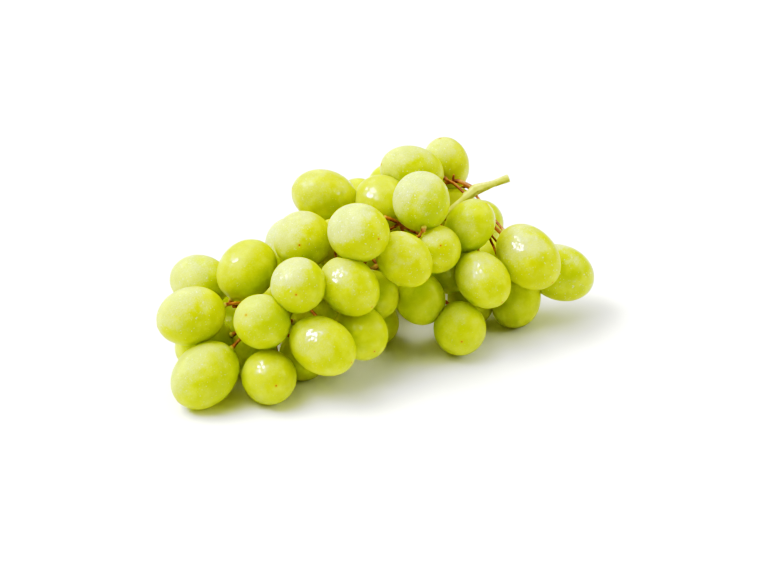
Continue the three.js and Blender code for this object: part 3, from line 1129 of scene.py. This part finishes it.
@dataclass
class TwigForm:
    """Dry twigs that show in the gaps between the berries."""

    sides: int = 3
    steps: int = 6
    order: int = 3
    weld: float = 0.01 * MM
    sight: Sight = field(default_factory=Sight)
    twigs: tuple[Twig, ...] = (
        Twig(
            "lateral",
            (1.0 * MM, 0.55 * MM),
            (
                (475, 189.5, 45.3 * MM),
                (467, 184.5, 46.0 * MM),
                (458, 180.5, 46.2 * MM),
                (451, 181.7, 45.3 * MM),
                (443, 184, 44.0 * MM),
                (437, 188, 42.2 * MM),
            ),
        ),
        Twig(
            "stub",
            (0.6 * MM, 0.35 * MM),
            ((453.5, 181, 45.7 * MM), (453, 178, 47.2 * MM), (454, 174.5, 48.6 * MM)),
        ),
        Twig(
            "fork",
            (0.7 * MM, 0.5 * MM),
            (
                (384, 217, 46.5 * MM),
                (393, 220, 45.0 * MM),
                (399, 223, 43.1 * MM),
                (405, 227.5, 40.4 * MM),
                (412, 231, 37.8 * MM),
                (420, 234.5, 34.8 * MM),
            ),
        ),
        Twig(
            "fork_branch",
            (0.6 * MM, 0.45 * MM),
            (
                (400, 223.5, 42.9 * MM),
                (396, 226, 41.8 * MM),
                (390, 229, 40.6 * MM),
                (384, 232, 39.4 * MM),
            ),
        ),
        Twig(
            "pair",
            (0.6 * MM, 0.45 * MM),
            (
                (484, 229, 36.4 * MM),
                (488, 235, 33.6 * MM),
                (492, 243, 30.3 * MM),
                (495.5, 251, 28.2 * MM),
                (499, 260, 25.8 * MM),
            ),
        ),
        Twig(
            "pair_branch",
            (0.5 * MM, 0.4 * MM),
            (
                (488, 230, 35.7 * MM),
                (492, 236, 32.8 * MM),
                (498, 243, 30.1 * MM),
                (503, 249, 28.6 * MM),
            ),
        ),
    )

    def build(self, wood: bpy.types.Material) -> list[bpy.types.Object]:
        """Models every twig.

        Args:
            wood: the stem's material.

        Returns:
            The finished twigs.
        """
        return [self._twig(twig, wood) for twig in self.twigs]

    def _twig(self, twig: Twig, wood: bpy.types.Material) -> bpy.types.Object:
        """Sweeps a round profile along one twig's route.

        Args:
            twig: the twig's name, radius and route.
            wood: the stem's material.

        Returns:
            The finished twig.
        """
        start, end = twig.radius
        bpy.ops.object.select_all(action="DESELECT")
        bpy.ops.curve.primitive_nurbs_path_add()
        piece = bpy.context.object
        piece.name = f"twig_{twig.name}"
        path = piece.data
        path.splines.clear()
        line = path.splines.new("NURBS")
        line.points.add(len(twig.route) - 1)
        sizes = np.linspace(start, end, len(twig.route))
        for point, place, size in zip(line.points, twig.route, sizes):
            point.co = (*self.sight.at_height(*place), 1.0)
            point.radius = size / start
        line.order_u = self.order
        line.use_endpoint_u = True
        line.resolution_u = self.steps
        path.bevel_depth = start
        path.bevel_resolution = self.sides
        path.use_fill_caps = True
        only(piece)
        bpy.ops.object.convert(target="MESH")
        merge_doubles(piece, self.weld)
        bpy.ops.object.shade_smooth()
        write_trait(piece.data, Trait.THICK, np.full(len(piece.data.vertices), 2 * end / MM))
        piece.data.materials.clear()
        piece.data.materials.append(wood)
        hand_over(piece, STEM_NODE)
        return piece


# Studio


@dataclass(frozen=True)
class Lamp:
    """A soft box: the way it shines from, its distance, size and power, in degrees, metres and watts."""

    name: str
    azimuth: float
    elevation: float
    distance: float
    size: tuple[float, float]
    power: float

    def add(self, aim: Vector) -> bpy.types.Object:
        """Hangs the lamp.

        Args:
            aim: the point that it is turned to.

        Returns:
            The lamp.
        """
        turn, tilt = math.radians(self.azimuth), math.radians(self.elevation)
        way = Vector((math.sin(turn) * math.cos(tilt), -math.cos(turn) * math.cos(tilt), math.sin(tilt)))
        bpy.ops.object.light_add(type="AREA", location=aim + way * self.distance)
        lamp = bpy.context.object
        lamp.name = self.name
        lamp.rotation_euler = (-way).to_track_quat("-Z", "Y").to_euler()
        lamp.data.shape = "RECTANGLE"
        lamp.data.size, lamp.data.size_y = self.size
        lamp.data.energy = self.power
        return lamp


@dataclass
class Studio:
    """White table, soft boxes, pale surroundings and the camera.

    The film is the picture's response: pairs of the light that comes in and the tone that it gives.
    """

    sight: Sight = field(default_factory=Sight)
    table: Colour = (0.9, 0.9, 0.9)
    table_size: float = 6.0
    sky: float = 0.1
    lamps: tuple[Lamp, ...] = (
        Lamp("key", azimuth=-105.0, elevation=57.0, distance=2.2, size=(2.4, 2.0), power=38.0),
        Lamp("core", azimuth=-105.0, elevation=54.0, distance=2.2, size=(1.1, 1.1), power=46.0),
        Lamp("top", azimuth=180.0, elevation=70.0, distance=2.2, size=(3.0, 3.0), power=52.0),
        Lamp("fill", azimuth=80.0, elevation=32.0, distance=2.0, size=(2.0, 1.0), power=26.0),
    )
    film: tuple[Span, ...] = (
        (0.03, 0.008),
        (0.08, 0.05),
        (0.2, 0.18),
        (0.45, 0.46),
        (0.8, 0.68),
        (1.2, 0.83),
    )
    film_white: float = 1.6
    film_channel: int = 3

    def build(self) -> None:
        """Sets the stage."""
        scene = bpy.context.scene
        self._film(scene)
        self._table()
        self._sky(scene)
        for lamp in self.lamps:
            lamp.add(Vector(self.sight.aim))
        self.sight.camera()

    def _film(self, scene: bpy.types.Scene) -> None:
        """Gives the picture a camera's response: firm shadows, and lights that fade softly into white.

        Args:
            scene: the scene whose view is set.
        """
        view = scene.view_settings
        view.view_transform = "Standard"
        view.use_curve_mapping = True
        mapping = view.curve_mapping
        mapping.clip_max_x = self.film_white
        response = mapping.curves[self.film_channel]
        response.points[-1].location = (self.film_white, 1.0)
        for light, tone in self.film:
            response.points.new(light, tone)
        mapping.update()

    def _table(self) -> None:
        """Lays the table."""
        bpy.ops.mesh.primitive_plane_add(size=self.table_size)
        table = bpy.context.object
        table.name = "table"
        tree = NodeTree("table_white")
        top = tree.add("BsdfDiffuse", {"Color": (*self.table, 1.0)})
        table.data.materials.append(tree.finish(top))

    def _sky(self, scene: bpy.types.Scene) -> None:
        """Surrounds the table with pale light.

        Args:
            scene: the scene whose world is set.
        """
        scene.world = bpy.data.worlds.new("studio")
        scene.world.use_nodes = True
        background = scene.world.node_tree.nodes["Background"]
        background.inputs["Color"].default_value = (1.0, 1.0, 1.0, 1.0)
        background.inputs["Strength"].default_value = self.sky


def main() -> None:
    """Builds the bunch and its stage."""
    logging.basicConfig(level=logging.INFO, format="%(name)s: %(message)s")
    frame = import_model()
    nodes = frame["nodes"]
    stem_points = points_of(nodes[STEM_NODE].data)
    reader = SprayReader()
    berries = []
    for name in sorted(nodes):
        if name.startswith(SPRAY_PREFIX):
            berries += reader.berries(nodes[name], stem_points)
    LOG.info("%d berries read from the frame", len(berries))
    pieces = BerryForm().copies(berries)
    stem = StemForm().build(nodes[STEM_NODE])
    pieces.append(stem)
    pieces += TwigForm().build(stem.data.materials[0])
    for piece in pieces:
        LOG.info("%s made, %d faces", piece.name, len(piece.data.polygons))
    Studio().build()
    LOG.info("studio set")


if __name__ == "__main__":
    main()
